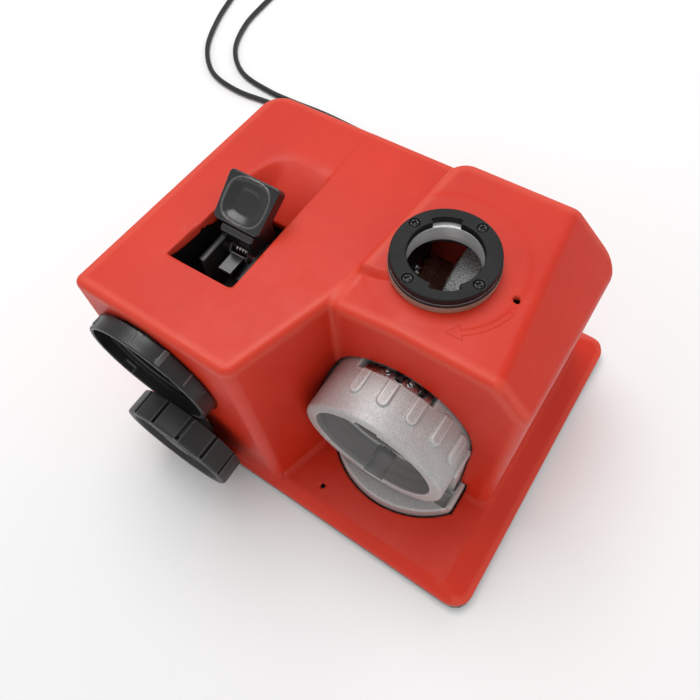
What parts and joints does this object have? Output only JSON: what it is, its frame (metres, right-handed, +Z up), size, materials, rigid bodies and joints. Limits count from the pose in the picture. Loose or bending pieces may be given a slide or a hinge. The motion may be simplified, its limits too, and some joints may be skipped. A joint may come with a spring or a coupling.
{
  "type": "drill bit sharpener",
  "caption": "Bench drill bit sharpener: red two-step housing on a flanged base, ringed top port, cast aluminium swivelling sharpening tube, alignment port, setting knob and thumb lever.",
  "frame": {"origin": "middle of the footprint of everything but the free cord, on the surface the feet stand on", "axes": "+Z up; +X to the right of an operator in front of the machine; +Y to the back, away from the operator"},
  "size_m": [0.5584, 0.5492, 0.1808],
  "materials": {
    "housing_red": "satin, fine moulded texture",
    "base_grey": "semi-matte",
    "foot_rubber": "matte",
    "screw_steel": "zinc plated",
    "motor_steel": "satin",
    "lamination": "laminated, varnished",
    "winding": "varnished copper and steel",
    "bright_steel": "ground",
    "fan_plastic": "moulded",
    "bracket_paint": "matte",
    "hub_brown": "oiled, brown",
    "abrasive": "coarse, sparkling grit",
    "port_steel": "turned",
    "ring_black": "semi-matte",
    "black_screw": "black oxide",
    "cast_aluminium": "bead-blasted casting",
    "band_steel": "spring steel, bright",
    "post_steel": "turned",
    "collar_black": "moulded, semi-matte",
    "sleeve_black": "moulded",
    "pawl_steel": "stamped",
    "knob_black": "moulded, fine texture",
    "bushing_brass": "turned",
    "lever_black": "satin dish, textured corners",
    "bracket_steel": "stamped",
    "switch_black": "glossy",
    "cord_black": "soft PVC, satin",
    "plug_black": "moulded",
    "plug_pin_steel": "nickel plated",
    "clamp_black": "moulded"
  },
  "bodies": {
    "base": {"alignment_sleeve": "sleeve_black", "base_plate": "base_grey", "base_screw_1": "screw_steel", "base_screw_2": "screw_steel", "base_screw_3": "screw_steel", "base_screw_4": "screw_steel", "bearing_front": "bright_steel", "bearing_outboard": "bright_steel", "bearing_post": "bracket_paint", "bearing_rear": "bright_steel", "cable_clamp": "clamp_black", "cord_coil": "cord_black", "cord_tube": "cord_black", "housing_shell": "housing_red", "knob_bushing": "bushing_brass", "lever_bracket": "bracket_steel", "lever_pin": "bright_steel", "lever_spring": "bright_steel", "motor_can": "motor_steel", "motor_end_bell": "motor_steel", "motor_saddle": "bracket_paint", "pawl_pin_1": "bright_steel", "pawl_pin_2": "bright_steel", "plug_body": "plug_black", "plug_pin_1": "plug_pin_steel", "plug_pin_2": "plug_pin_steel", "plug_tail": "cord_black", "port_carrier": "bracket_paint", "port_ring": "ring_black", "port_ring_screw_1": "black_screw", "port_ring_screw_2": "black_screw", "port_ring_screw_3": "black_screw", "port_ring_screw_4": "black_screw", "port_tube": "port_steel", "rubber_foot_1": "foot_rubber", "rubber_foot_2": "foot_rubber", "rubber_foot_3": "foot_rubber", "rubber_foot_4": "foot_rubber", "stator_core": "lamination", "strain_relief": "cord_black", "switch_body": "switch_black", "swivel_post": "post_steel"},
    "rotor": {"armature_core": "winding", "motor_shaft": "bright_steel", "cooling_fan": "fan_plastic", "wheel_hub": "hub_brown", "grinding_wheel": "abrasive", "wheel_washer": "bright_steel", "wheel_nut": "bright_steel"},
    "head": {"sharpening_head": "cast_aluminium", "clamping_band": "band_steel", "band_screw_1": "black_screw", "band_screw_2": "black_screw"},
    "collar": {"alignment_collar": "collar_black"},
    "knob": {"setting_knob": "knob_black", "knob_spindle": "bright_steel"},
    "lever": {"thumb_lever": "lever_black"},
    "pawl_left": {"alignment_pawl_left": "pawl_steel"},
    "pawl_right": {"alignment_pawl_right": "pawl_steel"},
    "rocker": {"switch_rocker": "switch_black"}
  },
  "joints": [
    {"name": "wheel_spin", "type": "hinge", "parent": "base", "child": "rotor", "pos_m": [0.00258, 0.05325, 0.101], "axis": [1, 0, 0], "continuous": true},
    {"name": "head_swivel", "type": "hinge", "parent": "base", "child": "head", "pos_m": [0.05508, -0.01325, 0.02], "axis": [0, 0, -1], "range_deg": [0, 2.6]},
    {"name": "collar_turn", "type": "hinge", "parent": "base", "child": "collar", "pos_m": [-0.08442, -0.09475, 0.113], "axis": [0, -1, 0], "range_deg": [-30, 30]},
    {"name": "knob_turn", "type": "hinge", "parent": "base", "child": "knob", "pos_m": [-0.07242, -0.10475, 0.044], "axis": [0, -1, 0], "range_deg": [-150, 150]},
    {"name": "lever_pivot", "type": "hinge", "parent": "base", "child": "lever", "pos_m": [-0.07342, -0.01375, 0.14], "axis": [-1, 0, 0], "range_deg": [0, 16], "stiffness_Nm_per_rad": 0.35, "springref_deg": -14.32},
    {"name": "pawl_left_pivot", "type": "hinge", "parent": "base", "child": "pawl_left", "pos_m": [-0.10142, -0.05975, 0.126], "axis": [0, 1, 0], "range_deg": [0, 13]},
    {"name": "pawl_right_pivot", "type": "hinge", "parent": "base", "child": "pawl_right", "pos_m": [-0.06742, -0.05975, 0.126], "axis": [0, -1, 0], "range_deg": [0, 13]},
    {"name": "switch_rock", "type": "hinge", "parent": "base", "child": "rocker", "pos_m": [-0.13042, 0.02225, 0.062], "axis": [0, 0, 1], "range_deg": [0, 14]}
  ],
  "couplings": [
    {"joint": "pawl_left_pivot", "follows": "lever_pivot", "ratio": 0.8},
    {"joint": "pawl_right_pivot", "follows": "lever_pivot", "ratio": 0.8}
  ]
}
